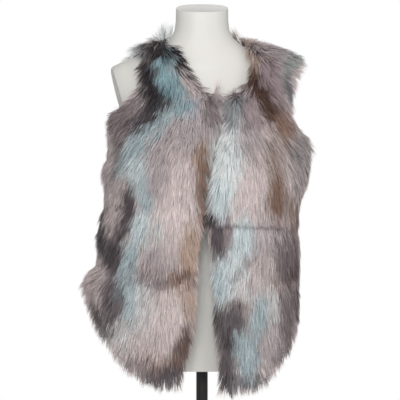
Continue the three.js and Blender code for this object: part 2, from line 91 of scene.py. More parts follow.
(
    INK, COAL, SLATE, STORM, DUSK, PLUM, MAUVE, ASH, ROSE, BLUSH, SILVER, ICE, MIST,
    SKY, TEAL, LILAC, SAGE, TAN, TAUPE, BROWN, UMBER,
) = DyeAndShade


class Side(Enum):
    """Which half of the vest a thing belongs to."""

    FRONT = "front"
    BACK = "back"


@dataclass(frozen=True)
class Hold:
    """How an edge holds the pile.

    overhang is how far the tips stand past it in mm, lift how straight off the cloth the hairs
    there point, and fade the power with which its tug dies away inwards.
    """

    overhang: float
    lift: float
    fade: float


class Edge(Hold, Enum):
    """The kinds of edge that a panel has."""

    HEM = (20.0, 0.9, 1.5)
    FRONT = (14.0, 0.5, 1.8)
    CLOSURE = (30.0, 0.64, 0.9)
    NECK = (13.0, 0.75, 1.5)
    NAPE = (46.0, 0.97, 0.25)
    ARMHOLE = (13.0, 0.7, 1.8)
    SHOULDER = (14.0, 0.35, 1.4)
    SEAM = (6.0, 0.0, 1.0)


@dataclass(frozen=True)
class Patch:
    """A soft-edged patch of the fur's colour, or for a few of them of painted shade: an ellipse in the
    view from the front, in millimetres.

    lean turns its long axis away from straight down, towards the wearer's left.
    """

    name: str
    dye_and_shade: DyeAndShade
    x: float
    z: float
    wide: float
    high: float
    lean: float = 0.0
    strength: float = 0.9


@dataclass(frozen=True)
class Comb:
    """The way the pile lies near one place: degrees from straight down to the wearer's left."""

    x: float
    z: float
    lean: float


def table(kind: type, *rows: tuple[Any, ...]) -> tuple[Any, ...]:
    """A table of patches or combings, from rows of their values."""
    return tuple(kind(*row) for row in rows)


FRONT_PATCHES = table(
    Patch,
    # wearer's right front, from the shoulder down
    ("chest mauve", ASH, -60, 700, 70, 70),
    ("chest lilac", LILAC, -22, 732, 22, 26, 20),
    ("armpit dusk", DUSK, -160, 716, 36, 42, -30),
    ("armhole edge rose", ASH, -192, 668, 12, 22),
    ("yoke teal", TEAL, -80, 822, 17, 44),
    ("yoke teal low", TEAL, -66, 784, 34, 22, 60),
    ("chest teal", TEAL, -46, 756, 20, 34, 30),
    ("chest teal turn", SKY, -66, 724, 40, 17),
    ("chest teal slant", SKY, -108, 690, 22, 46, -42),
    ("side teal", SKY, -144, 638, 26, 44, -20),
    ("side teal pale", MIST, -130, 590, 22, 40, 14),
    ("waist teal", SKY, -106, 546, 19, 42, 12),
    ("waist teal pale", MIST, -124, 492, 28, 36, -30),
    ("belly teal", MIST, -150, 446, 18, 36, -16),
    ("hip teal", SKY, -152, 384, 21, 56),
    ("hip teal low", SKY, -142, 312, 19, 38, 6),
    ("breast grey", ASH, -92, 610, 22, 58),
    ("breast pink", BLUSH, -50, 600, 26, 56, 4),
    ("belly pale", BLUSH, -60, 506, 46, 42, 6),
    ("belly grey", SILVER, -96, 468, 22, 40, -16),
    ("belly rose", ROSE, -62, 444, 60, 24),
    ("belly mauve", MAUVE, -88, 424, 44, 18, 0, 0.7),
    ("belly spot", MAUVE, -98, 440, 13, 12, 0, 0.8),
    ("belly bar", DUSK, -122, 390, 34, 14, 0, 0.75),
    ("belly bar low", DUSK, -86, 380, 28, 22, 0, 0.85),
    ("belly pale low", ICE, -124, 354, 22, 18, 20, 0.7),
    ("thigh pink", BLUSH, -90, 300, 42, 62),
    ("thigh silver", SILVER, -120, 300, 22, 40, -14, 0.7),
    ("front edge tan", TAN, -22, 440, 20, 54, 4),
    ("front edge brown", BROWN, -38, 384, 38, 20, 6),
    ("front edge russet", UMBER, -32, 380, 22, 12, 6, 0.75),
    ("front edge tan low", TAN, -26, 330, 18, 40, 10, 0.7),
    ("thigh rose", ROSE, -84, 234, 50, 36),
    ("thigh grey", SILVER, -176, 270, 26, 44, 20),
    ("front corner brown", UMBER, -44, 238, 15, 56, -16),
    ("hem brown", BROWN, -76, 212, 50, 16, 0, 0.75),
    ("hem coal", COAL, -72, 182, 60, 26, 4),
    ("hem dusk", DUSK, -140, 206, 34, 16, 0, 0.7),
    ("closure dusk", DUSK, 22, 724, 26, 28),
    ("closure rose", ASH, 0, 668, 22, 34, 0, 0.7),
    ("closure tan", TAN, 8, 626, 22, 46, -6),
    ("closure brown", BROWN, 4, 588, 22, 62, -4),
    ("closure dark", UMBER, 10, 566, 13, 62, -3, 0.85),
    ("closure ink", UMBER, 22, 650, 7, 40, -8, 0.8),
    # painted shade: a darker brown line along the front edge at the foot of the closure
    ("closure low brown", BROWN, 0, 512, 12, 30, 0, 0.8),
    ("armhole coal", COAL, -114, 808, 24, 44, -8),
    ("armhole ink", INK, -108, 792, 20, 36),
    ("shoulder silver", ICE, -146, 868, 36, 34, 0, 1.0),
    ("chest ink", INK, -92, 760, 38, 24),
    ("chest ink slant", INK, -112, 732, 20, 34, -42),
    ("chest coal", COAL, -134, 704, 18, 30, -50),
    ("side coal strip", COAL, -172, 648, 11, 52, -6, 0.6),
    ("shoulder ink", INK, -84, 862, 38, 20, 6, 1.0),
    ("neckline ink", INK, -50, 850, 20, 34, 8, 1.0),
    ("neckline ink low", INK, -36, 816, 9, 26, 48),
    ("neckline tail", COAL, -12, 794, 7, 24, 52),
    ("side ink", COAL, -148, 538, 16, 40, -4),
    ("side ink slant", COAL, -166, 502, 21, 50, -26),
    ("side ink low", COAL, -196, 440, 12, 50, -16),
    ("hip ink", COAL, -182, 424, 18, 26, -20),
    ("hip dusk", DUSK, -184, 384, 18, 20),
    ("hip ink low", COAL, -174, 346, 16, 44, 0, 0.75),
    ("hip ink corner", COAL, -202, 320, 26, 26, 40, 0.7),
    ("tuft rose", ASH, -216, 372, 24, 32, -6),
    # wearer's left front, above the level seam
    ("left breast base", ROSE, 110, 620, 60, 110),
    ("left shoulder", ASH, 132, 850, 46, 28),
    ("left shoulder mauve", PLUM, 144, 790, 22, 54, 14),
    ("left neck tan", TAN, 72, 872, 30, 24, -40),
    ("shoulder tip", SAGE, 186, 826, 28, 24, 40),
    ("armhole slate", SLATE, 182, 774, 15, 36, 10),
    ("side rose left", ROSE, 186, 600, 20, 56),
    ("neckline dusk", PLUM, 70, 756, 32, 20, 80),
    ("breast mauve left", PLUM, 100, 712, 26, 48, 6),
    ("breast spot", DUSK, 84, 748, 13, 12),
    ("breast blue", ICE, 54, 656, 34, 50, -8),
    ("closure slate", STORM, 62, 724, 30, 22, 70, 0.8),
    ("breast grey left", ASH, 98, 664, 26, 36),
    ("breast ice", ICE, 52, 590, 40, 60, -6),
    ("breast pink left", BLUSH, 104, 552, 34, 60),
    ("breast teal low", MIST, 40, 546, 30, 34),
    ("side brown", TAUPE, 148, 594, 21, 84, 2),
    ("side brown low", BROWN, 154, 546, 13, 56, 4, 1.0),
    ("side tan", TAUPE, 186, 532, 18, 50, 10),
    ("neck russet", TAN, 102, 834, 22, 26, 10, 0.8),
    # a brown stripe, partly its own colour and partly painted shade in the valley of the fold that runs
    # from the neck towards the armpit
    ("stripe top", UMBER, 104, 794, 24, 26, 20, 1.0),
    ("stripe", UMBER, 126, 764, 20, 40, 42, 1.0),
    ("stripe middle", UMBER, 148, 726, 18, 40, 32, 1.0),
    ("stripe low", BROWN, 172, 690, 14, 38, 24),
    # wearer's left front, below the level seam
    ("waist base", ASH, 120, 440, 70, 60),
    ("waist dusk", DUSK, 38, 466, 24, 42),
    ("waist ink", COAL, 24, 466, 14, 48, 4),
    # painted shade: a dark parting where the pile of the upper and lower panels meets at the level seam
    ("seam ink", INK, 14, 506, 14, 14),
    ("seam dusk", COAL, 42, 502, 26, 9, -6, 0.7),
    ("waist ice", MIST, 80, 456, 28, 62, -14),
    ("hip teal left", MIST, 42, 384, 30, 46, -10),
    ("hip teal deep", SKY, 30, 366, 16, 34, -10, 0.6),
    ("hip ice", ICE, 76, 400, 22, 30),
    ("hip rose", ROSE, 130, 402, 32, 44),
    ("hip pale", SILVER, 116, 350, 44, 20),
    ("hip side dusk", DUSK, 176, 420, 18, 60, 2),
    ("hip side brown", UMBER, 190, 376, 13, 24, 16),
    ("hip smudge", TAUPE, 150, 372, 18, 12),
    ("thigh pale", SILVER, 148, 310, 22, 30),
    ("thigh side dusk", DUSK, 178, 290, 18, 62, 4),
    ("thigh coal", COAL, 58, 280, 38, 58, 2),
    ("thigh ink", INK, 30, 316, 12, 22, 0, 0.8),
    ("thigh ink low", INK, 66, 236, 17, 26, 0, 0.7),
    # painted shade: a dark line along the crease that parts the pile over the hip
    ("hip crease", DUSK, 78, 398, 6, 38, -44, 0.6),
    ("thigh teal", SKY, 116, 302, 20, 46, 6),
    ("thigh teal low", SKY, 98, 226, 28, 46, -6),
    ("thigh rose left", ASH, 146, 242, 28, 38),
    ("hem slate", SLATE, 84, 170, 64, 19),
    ("hem ink", COAL, 44, 190, 24, 40),
    ("hem dusk left", DUSK, 168, 222, 20, 30, -30, 0.7),
)

BACK_PATCHES = table(
    Patch,
    ("upper pink", BLUSH, -60, 720, 62, 72),
    ("middle pink", BLUSH, 96, 600, 62, 84),
    ("lower pink", BLUSH, -90, 320, 62, 72),
    ("nape silver", SILVER, 0, 876, 70, 28),
    ("right nape ice", ICE, -74, 892, 34, 34, 0, 1.0),
    ("left nape tan", TAN, 74, 890, 34, 36),
    ("right yoke ice", ICE, -142, 856, 44, 38, 0, 1.0),
    ("left yoke mauve", MAUVE, 130, 840, 40, 40),
    ("left yoke tip", SAGE, 184, 820, 28, 34),
    ("yoke teal", TEAL, -44, 812, 34, 54, 24),
    ("yoke teal slant", SKY, -2, 742, 26, 60, 34),
    ("blade teal", SKY, 54, 676, 27, 58, 34),
    ("waist teal", MIST, 92, 596, 30, 60, 8),
    ("waist teal low", SKY, 90, 510, 26, 58, -18),
    ("hip teal", MIST, 54, 424, 30, 60, -30),
    ("thigh teal", SKY, 10, 340, 26, 58, -24),
    ("hem teal", SKY, -14, 268, 36, 38),
    ("spine mauve", MAUVE, -34, 668, 26, 46, 20),
    ("left mauve", PLUM, 150, 560, 24, 66, -6),
    ("left low mauve", DUSK, 136, 400, 22, 62, 6),
    ("right low mauve", ASH, -154, 400, 32, 72),
    ("hip mauve", DUSK, -40, 500, 46, 20, 0, 0.8),
    ("thigh mauve", MAUVE, 88, 320, 32, 50),
    ("right belly pink", ROSE, -120, 560, 30, 60),
    ("yoke coal", COAL, 40, 836, 34, 30, 20),
    ("yoke ink", INK, 70, 776, 24, 46, 36),
    ("blade coal", COAL, 118, 706, 22, 50, 30),
    ("blade brown", BROWN, 150, 756, 18, 46, 16),
    ("waist coal", COAL, 44, 566, 20, 46, 10),
    ("waist ink", INK, 30, 496, 18, 46, -26),
    ("right blade coal", COAL, -128, 700, 24, 60, -14),
    ("right blade ink", INK, -118, 664, 14, 38, -14),
    ("spine brown", BROWN, -24, 594, 19, 58, -10),
    ("spine dark", UMBER, -30, 566, 11, 40, -10, 0.8),
    ("right hip coal", COAL, -92, 440, 26, 48, 24),
    ("low tan", TAN, -28, 410, 18, 52, 10),
    ("right hem coal", COAL, -84, 246, 52, 24),
    ("left hem slate", SLATE, 104, 240, 60, 22, 4),
    ("hem dark", UMBER, 30, 226, 36, 16, 0, 0.8),
)

# the sides, where the front's dyes run on into the back
SIDE_PATCHES = table(
    Patch,
    ("right side rose", ASH, -206, 590, 22, 76),
    ("right armpit dusk", DUSK, -190, 716, 20, 40, -20),
    ("right side ink", COAL, -210, 446, 18, 46, -14),
    ("right tuft rose", ROSE, -228, 366, 26, 26, -6),
    ("right hip corner", COAL, -214, 322, 22, 24, 30, 0.6),
    ("left armpit slate", SLATE, 214, 662, 20, 32, 20, 0.55),
    ("left side slate", SLATE, 214, 590, 13, 44, -8, 0.35),
    ("left side tan", TAUPE, 200, 500, 14, 50, 6),
    ("left side dusk", DUSK, 194, 412, 20, 62, 2),
    ("left side brown", UMBER, 200, 376, 13, 24, 16),
    ("left side low", DUSK, 196, 300, 18, 54, 4),
)

# the body as an egg in metres: the squares of its half axes, and where its round top starts
BODY_X2, BODY_Y2, BODY_Z2, BODY_TOP = 0.04, 0.017, 0.022, 0.70

# landmarks in mm: heights, and distances from the middle, that tell the edges apart
SHOULDER_Z, NECK_Z, CLOSURE_Z, SIDE_HEM_Z = 790.0, 770.0, 705.0, 420.0
SIDE_HEM_X, NAPE_X, CLOSURE_X = 130.0, 78.0, 80.0

# the levels of a hair from root to tip, and how wide it is there
STEPS = np.array([0.0, 0.36, 0.72, 1.0])
TAPER = np.array([0.8, 1.0, 0.78, 0.0])

# the wisp that sticks up where the two fronts meet
WISP = Comb(31, 741, 174)
WISP_REACH = 11.0

FRONT_COMBS = table(
    Comb,
    (-120, 860, -30), (-60, 850, 14), (-20, 800, 26), (-120, 780, -16), (-90, 740, -34),
    (-160, 700, -40), (-60, 700, -14), (0, 720, -4), (-150, 620, -26), (-70, 600, -4),
    (0, 580, -6), (-200, 560, -22), (-150, 480, -18), (-60, 480, 2), (-220, 420, -24),
    (-130, 380, -20), (-50, 380, 10), (-220, 330, -16), (-130, 280, -14), (-60, 260, 4),
    (-150, 210, -10), (-70, 180, 0), (80, 860, 44), (130, 820, 46), (190, 820, 66),
    (100, 770, 26), (160, 750, 34), (60, 720, 2), (130, 690, 28), (200, 660, 34),
    (50, 620, 0), (110, 600, 2), (180, 580, 16), (60, 530, -2), (130, 520, 4),
    (40, 460, -6), (110, 440, -14), (180, 440, 12), (50, 360, -12), (120, 340, -10),
    (190, 330, 14), (50, 250, 4), (110, 230, -12), (180, 250, 16), (60, 160, 0),
    (120, 160, 8),
)

BACK_COMBS = table(
    Comb,
    (-130, 860, 30), (0, 880, 0), (130, 850, -30), (-140, 720, 18), (-40, 720, 6),
    (50, 700, -8), (150, 700, -20), (-160, 520, 12), (0, 540, -4), (150, 520, -10),
    (-170, 380, 16), (-50, 380, 6), (60, 360, -6), (170, 380, -12), (-90, 260, 8),
    (80, 260, -8),
)

PATCHES = {Side.FRONT: FRONT_PATCHES + SIDE_PATCHES, Side.BACK: BACK_PATCHES + SIDE_PATCHES}
COMBS = {Side.FRONT: FRONT_COMBS, Side.BACK: BACK_COMBS}


class Value:
    """A shader socket that takes part in Python arithmetic."""

    def __init__(self, shader: "Shader", socket: NodeSocket) -> None:
        """Wraps an output socket of a shader's tree."""
        self.shader = shader
        self.socket = socket

    def math(self, operation: str, *values: Any) -> "Value":
        """A Math node on these values."""
        return self.shader.value("ShaderNodeMath", {"operation": operation}, dict(enumerate(values)))

    def __add__(self, other: Any) -> "Value":
        """self + other."""
        return self.math("ADD", self, other)

    def __radd__(self, other: Any) -> "Value":
        """other + self."""
        return self.math("ADD", other, self)

    def __sub__(self, other: Any) -> "Value":
        """self - other."""
        return self.math("SUBTRACT", self, other)

    def __rsub__(self, other: Any) -> "Value":
        """other - self."""
        return self.math("SUBTRACT", other, self)

    def __mul__(self, other: Any) -> "Value":
        """self * other."""
        return self.math("MULTIPLY", self, other)

    def __rmul__(self, other: Any) -> "Value":
        """other * self."""
        return self.math("MULTIPLY", other, self)

    def __pow__(self, other: Any) -> "Value":
        """self ** other."""
        return self.math("POWER", self, other)


class Shader:
    """A material and its Principled surface."""

    def __init__(self, name: str, constants: dict[str, Any]) -> None:
        """Makes the material.

        Args:
            name: The material's name.
            constants: Values for the Principled node's own sockets.
        """
        self.material = bpy.data.materials.new(name)
        self.material.use_nodes = True
        self.tree = self.material.node_tree
        self.surface = self.tree.nodes["Principled BSDF"]
        for key, value in constants.items():
            self.surface.inputs[key].default_value = value

    def node(self, kind: str, settings: dict[str, Any], inputs: dict[Any, Any]) -> Node:
        """Adds a node.

        Args:
            kind: The node's type, such as ShaderNodeTexNoise.
            settings: The node's properties, such as a Math node's operation.
            inputs: Values, Value objects or sockets by socket name or number.

        Returns:
            The new node.
        """
        node = self.tree.nodes.new(kind)
        for key, value in settings.items():
            setattr(node, key, value)
        for key, value in inputs.items():
            if isinstance(value, Value):
                value = value.socket
            if isinstance(value, NodeSocket):
                self.tree.links.new(value, node.inputs[key])
            else:
                node.inputs[key].default_value = value
        return node

    def value(self, kind: str, settings: dict[str, Any], inputs: dict[Any, Any], out: Any = 0) -> Value:
        """Adds a node and gives one of its outputs for arithmetic."""
        return Value(self, self.node(kind, settings, inputs).outputs[out])

    def noise(self, scale: float, detail: float = 2.0) -> Value:
        """Noise on Object coordinates, with a scale in cycles to a metre."""
        where = self.node("ShaderNodeTexCoord", {}, {}).outputs["Object"]
        return self.value("ShaderNodeTexNoise", {}, {"Vector": where, "Scale": scale, "Detail": detail})

    def mix(self, factor: Any, first: Any, second: Any, blend: str = "MIX") -> NodeSocket:
        """The socket of a mix of two colours."""
        settings = {"data_type": "RGBA", "blend_type": blend}
        return self.node("ShaderNodeMix", settings, {0: factor, 6: first, 7: second}).outputs[2]

    def feed(self, socket: str, value: Any) -> None:
        """Links a value to one of the Principled node's sockets."""
        if isinstance(value, Value):
            value = value.socket
        self.tree.links.new(value, self.surface.inputs[socket])

    def bump(self, height: Value, strength: float, distance: float) -> None:
        """Feeds the surface's normal from a height."""
        inputs = {"Height": height, "Strength": strength, "Distance": distance}
        self.feed("Normal", self.node("ShaderNodeBump", {}, inputs).outputs[0])


@dataclass(frozen=True)
class FurFinish:
    """Glossy acrylic pile, with painted shade that darkens it towards its roots."""

    roughness: float = 0.52
    root_shade: float = 0.62
    specks: float = 0.10
    brightness: float = 1.4

    def material(self) -> Material:
        """The pile's material, which reads each hair's own colour and darkens it towards the root with
        painted shade.
        """
        constants = {"Roughness": self.roughness, "Specular IOR Level": 0.32, "Sheen Weight": 0.12}
        shader = Shader("faux_fur", constants)
        dye_and_shade = shader.node("ShaderNodeAttribute", {"attribute_name": "dye_and_shade"}, {}).outputs["Color"]
        along = shader.value("ShaderNodeAttribute", {"attribute_name": "along"}, {}, "Fac")
        # painted shade: root_shade darkens each hair from tip to root, where the pile would shade
        # itself
        shade = (self.root_shade + (1 - self.root_shade) * along**0.7) * self.brightness
        speck = 1 + self.specks * (shader.noise(420.0) - 0.5) * 2
        tone = shader.node("ShaderNodeCombineColor", {}, {i: shade * speck for i in range(3)})
        shader.feed("Base Color", shader.mix(1.0, dye_and_shade, tone.outputs[0], "MULTIPLY"))
        return shader.material


@dataclass(frozen=True)
class BackingFinish:
    """The knitted backing that the pile grows from."""

    colour: Rgba = (0.20, 0.17, 0.17, 1.0)
    stitch_mm: float = 1.6

    def material(self) -> Material:
        """The backing's material, with its rows of stitches."""
        shader = Shader("knit_backing", {"Roughness": 0.9, "Specular IOR Level": 0.2})
        where = shader.node("ShaderNodeTexCoord", {}, {}).outputs["Object"]
        scale = 1 / (self.stitch_mm * MM * 3)
        bands = {"Vector": where, "Scale": scale, "Distortion": 0.6, "Detail": 1.0}
        rows = shader.value("ShaderNodeTexWave", {"bands_direction": "Z"}, bands, "Fac")
        ribs = shader.value("ShaderNodeTexWave", {"bands_direction": "X"}, bands, "Fac")
        knit = rows * ribs
        worn = shader.noise(40.0, 4.0) * 0.5 + knit * 0.5
        dark = tuple(c * 0.6 for c in self.colour[:3]) + (1.0,)
        shader.feed("Base Color", shader.mix(worn, dark, self.colour))
        shader.bump(knit, 0.5, 0.0006)
        return shader.material


@dataclass(frozen=True)
class FormFinish:
    """The form's off-white semi-gloss skin."""

    colour: Rgba = (0.665, 0.655, 0.622, 1.0)
    warm: Rgba = (0.62, 0.60, 0.562, 1.0)

    def material(self) -> Material:
        """A moulded skin with faint yellowing, rub marks and orange peel."""
        gloss = {"Specular IOR Level": 0.4, "Coat Weight": 0.15, "Coat Roughness": 0.2}
        shader = Shader("form_skin", gloss)
        shader.feed("Base Color", shader.mix(shader.noise(7.0, 3.0), self.colour, self.warm))
        shader.feed("Roughness", 0.42 + shader.noise(60.0, 5.0) * 0.12)
        shader.bump(shader.noise(380.0, 1.0), 0.06, 0.0004)
        return shader.material


@dataclass(frozen=True)
class StandFinish:
    """Satin black paint on steel."""

    colour: Rgba = (0.012, 0.012, 0.013, 1.0)
    worn: Rgba = (0.035, 0.034, 0.033, 1.0)

    def material(self) -> Material:
        """Black paint with a fine grain and dull scuffs."""
        shader = Shader("black_paint", {"Specular IOR Level": 0.3})
        scuffs = shader.noise(26.0, 6.0) ** 3
        shader.feed("Base Color", shader.mix(scuffs * 3, self.colour, self.worn))
        shader.feed("Roughness", 0.46 + scuffs * 0.4)
        shader.bump(shader.noise(900.0, 1.0), 0.03, 0.0002)
        return shader.material


def add_object(name: str, mesh: Mesh, material: Material) -> Object:
    """Links a new object at the origin.

    Args:
        name: The piece's name.
        mesh: Its mesh, in the row frame.
        material: Its finish.

    Returns:
        The object.
    """
    piece = bpy.data.objects.new(name, mesh)
    bpy.context.scene.collection.objects.link(piece)
    mesh.materials.clear()
    mesh.materials.append(material)
    return piece


def merged_solid(node: str) -> bmesh.types.BMesh:
    """A CAD node's mesh with its loose triangles joined."""
    mesh = bmesh.new()
    mesh.from_mesh(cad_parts[node].data)
    bmesh.ops.remove_doubles(mesh, verts=mesh.verts, dist=0.02 * MM)
    return mesh


def way_off(edge: bmesh.types.BMEdge, point: Vector) -> Vector:
    """The way off the cloth at a point of one of its free edges."""
    along = (edge.verts[1].co - edge.verts[0].co).normalized()
    inward = edge.link_faces[0].calc_center_median() - point
    return -(inward - along * inward.dot(along)).normalized()


def tree_of(points: Sequence[Any]) -> KDTree:
    """A search tree of points."""
    tree = KDTree(len(points))
    for i, point in enumerate(points):
        tree.insert(point, i)
    tree.balance()
    return tree


def smoothstep(low: float, high: float, x: Array) -> Array:
    """A soft step from 0 at low to 1 at high."""
    t = np.clip((x - low) / (high - low), 0, 1)
    return t * t * (3 - 2 * t)


def rows_of(items: Any, name: str, kind: type = float) -> Array:
    """A value of three numbers of each of a mesh's elements, as rows."""
    values = np.zeros(len(items) * 3, kind)
    items.foreach_get(name, values)
    return values.reshape(-1, 3)


def unit(vectors: Array) -> Array:
    """The vectors at length 1."""
    return vectors / np.maximum(np.linalg.norm(vectors, axis=1, keepdims=True), 1e-9)


@dataclass
class HardPiece:
    """A smooth hard piece that stands for one CAD node."""

    node: str
    slot: str
    sharp_deg: float = 30.0
    smooth_deg: float = 40.0
    flat_deg: float = 0.6
    level: float = 0.999
    rim: float = 1.6 * MM

    def build(self, material: Material) -> None:
        """Rounds the node's rims and shades its faces smooth.

        Args:
            material: The piece's finish.
        """
        solid = merged_solid(self.node)
        flat = math.radians(self.flat_deg)
        bmesh.ops.dissolve_limit(solid, angle_limit=flat, verts=solid.verts, edges=solid.edges)
        limit = math.radians(self.sharp_deg)
        rims = [e for e in solid.edges if len(e.link_faces) == 2 and e.calc_face_angle() > limit]
        if self.rim:
            bmesh.ops.bevel(
                solid, geom=rims, offset=self.rim, offset_type="OFFSET", segments=3,
                profile=0.5, affect="EDGES", material=-1, clamp_overlap=True,
            )
        for face in solid.faces:
            face.smooth = abs(face.normal.z) < self.level
        mesh = bpy.data.meshes.new(self.node + "_skin")
        solid.to_mesh(mesh)
        solid.free()
        mesh.set_sharp_from_angle(angle=math.radians(self.smooth_deg))
        piece = add_object(self.node + "_skin", mesh, material)
        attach(piece, "root")
        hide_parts(self.node)
        log.info("%s: %d faces", piece.name, len(mesh.polygons))


@dataclass
class Cloth:
    """Samples of the backing cloth: values holds one row for each of its points."""

    triangles: Array
    values: dict[str, Array]


@dataclass
class FurPanel:
    """One sewn panel: a thin knitted backing, and the pile that grows out of it."""

    node: str
    side: Side
    flat: tuple[float, float]
    area: float
    hairs: int
    fur_names: tuple[str, ...]
    seed: int
    seam_z: float | None = None
    trim_end: float | None = None
    tuck: float = 4 * MM
    tuck_share: float = 0.45
    fold: float = math.radians(50)
    outer_limit: float = 0.35
    folded_limit: float = 0.1
    seam_band: float = 8 * MM
    side_band: float = 2 * MM
    edge_reach: float = 26 * MM
    pile_least: float = 10 * MM
    pile_most: float = 44 * MM
    pile_unmeasured: float = 16 * MM
    pile_search: float = 60 * MM
    clear: float = 2 * MM
    level_shrink: float = 0.2
    comb_reach: tuple[float, float] = (55.0, 65.0)
    dye_wave: float = 5.0
    lock_size: float = 8 * MM
    hair_width: float = 0.95 * MM
    hair_length: float = 48 * MM
    nape_extra: float = 1.3
    wisp_extra: float = 1.5
    tuft_share: float = 0.35
    tuft_room: float = 1.7
    tuft_rise: float = 1.2
    tuft_grip: float = 0.62
    lock_grip: tuple[float, float] = (0.10, 0.42)
    sway: float = 0.13
    lock_shift: tuple[float, float] = (3.5, 7.0)
    hair_shift: tuple[float, float] = (2.5, 6.0)
    backing_thickness: float = 1.6 * MM
    rng: np.random.Generator = field(init=False)

    def __post_init__(self) -> None:
        """Seeds the panel's random draws."""
        self.rng = np.random.default_rng(self.seed)

    def backing_mesh(self) -> Mesh:
        """The solid's face towards the form, turned outwards, rounded and fine enough to comb."""
        solid = merged_solid(self.node)
        tips = set()
        for face in solid.faces:
            if self.facing(face) > self.outer_limit:
                tips.update(face.verts)
        away = [face for face in solid.faces if not tips.isdisjoint(face.verts)]
        bmesh.ops.delete(solid, geom=away, context="FACES")
        self.keep_cloth(solid)
        bmesh.ops.join_triangles(
            solid, faces=solid.faces, angle_face_threshold=0.7, angle_shape_threshold=3.1
        )
        bmesh.ops.reverse_faces(solid, faces=solid.faces)
        bmesh.ops.subdivide_edges(
            solid, edges=solid.edges, cuts=1, use_grid_fill=True, smooth=0.6
        )
        self.tuck_edges(solid)
        solid.normal_update()
        folded = [face for face in solid.faces if self.facing(face) < self.folded_limit]
        bmesh.ops.delete(solid, geom=folded, context="FACES")
        for face in solid.faces:
            face.smooth = True
        mesh = bpy.data.meshes.new("backing_" + self.node)
        solid.to_mesh(mesh)
        solid.free()
        return mesh

    def facing(self, face: bmesh.types.BMFace) -> float:
        """How far a face looks away from the wearer, from -1 to 1."""
        x, y, z = face.calc_center_median()
        outward = Vector((x / BODY_X2, y / BODY_Y2, max(z - BODY_TOP, 0) / BODY_Z2))
        return face.normal.dot(outward.normalized())

    def keep_cloth(self, shape: bmesh.types.BMesh) -> None:
        """Keeps only the largest stretch of cloth without a fold, so no rim or sliver."""
        left = set(shape.faces)
        stretches = []
        while left:
            stretch, queue = [], [left.pop()]
            while queue:
                face = queue.pop()
                stretch.append(face)
                for edge in face.edges:
                    if edge.calc_face_angle(0.0) <= self.fold:
                        near = left.intersection(edge.link_faces)
                        left -= near
                        queue.extend(near)
            stretches.append(stretch)
        stretches.sort(key=len)
        extra = [face for stretch in stretches[:-1] for face in stretch]
        bmesh.ops.delete(shape, geom=extra, context="FACES")

    def tuck_edges(self, shape: bmesh.types.BMesh) -> None:
        """Draws the backing's free edges in under the pile."""
        moves = {}
        for edge in shape.edges:
            if not edge.is_boundary or self.is_sewn((edge.verts[0].co + edge.verts[1].co) / 2):
                continue
            for vert in edge.verts:
                moves.setdefault(vert, []).append(-way_off(edge, vert.co))
        for vert, ways in moves.items():
            inner = [edge.calc_length() for edge in vert.link_edges if not edge.is_boundary]
            step = min([self.tuck] + [self.tuck_share * length for length in inner])
            vert.co += sum(ways, Vector()).normalized() * step

    def is_sewn(self, point: Vector) -> bool:
        """Whether a point of the backing's border lies on a seam."""
        on_seam = self.seam_z is not None and abs(point.z - self.seam_z) < self.seam_band
        return abs(point.y) < self.side_band or on_seam

    def sample(self, mesh: Mesh) -> Cloth:
        """Measures the cloth for combing.

        Args:
            mesh: The backing's mesh.

        Returns:
            Its triangles, with the place, normal, combing and pile depth of each point, and
            how the nearest edge holds the hairs there.
        """
        points = rows_of(mesh.vertices, "co")
        normals = rows_of(mesh.vertex_normals, "vector")
        mesh.calc_loop_triangles()
        triangles = rows_of(mesh.loop_triangles, "vertices", int)
        solid = merged_solid(self.node)
        skin = BVHTree.FromBMesh(solid)
        solid.free()
        pile = np.full(len(points), self.pile_unmeasured)
        for i, (point, normal) in enumerate(zip(points, normals)):
            hit = skin.ray_cast(Vector(point + normal * self.clear), Vector(normal), self.pile_search)
            if hit[3] is not None:
                pile[i] = hit[3] + self.clear
        pile = np.clip(pile, self.pile_least, self.pile_most)
        pile *= 1 - self.level_shrink * smoothstep(0.3, 0.9, normals[:, 2])
        across = unit(np.cross(UP, normals))
        down = unit(np.cross(across, normals))
        lean = np.radians(self.leans(points))
        combing = down * np.cos(lean)[:, None] + across * np.sin(lean)[:, None]
        values = {"root": points, "normal": normals, "comb": combing, "pile": pile}
        return Cloth(triangles, values | self.edges_near(mesh, points))

    def edge_kind(self, place: Vector, way: Vector) -> Edge:
        """What the cloth's edge at a place is, where way points off the cloth."""
        x, y, z = place / MM
        if self.is_sewn(place):
            return Edge.SHOULDER if z > SHOULDER_Z else Edge.SEAM
        if way.z < -0.55 or z < SIDE_HEM_Z and abs(x) > SIDE_HEM_X:
            return Edge.HEM
        if self.side is Side.BACK and way.z > 0.1 and abs(x) < NAPE_X:
            return Edge.NAPE
        if z < NECK_Z and y < -CLOSURE_X and abs(x) < CLOSURE_X and way.z < 0.6:
            return Edge.CLOSURE if z > CLOSURE_Z else Edge.FRONT
        return Edge.NECK if way.x * x < 0 else Edge.ARMHOLE

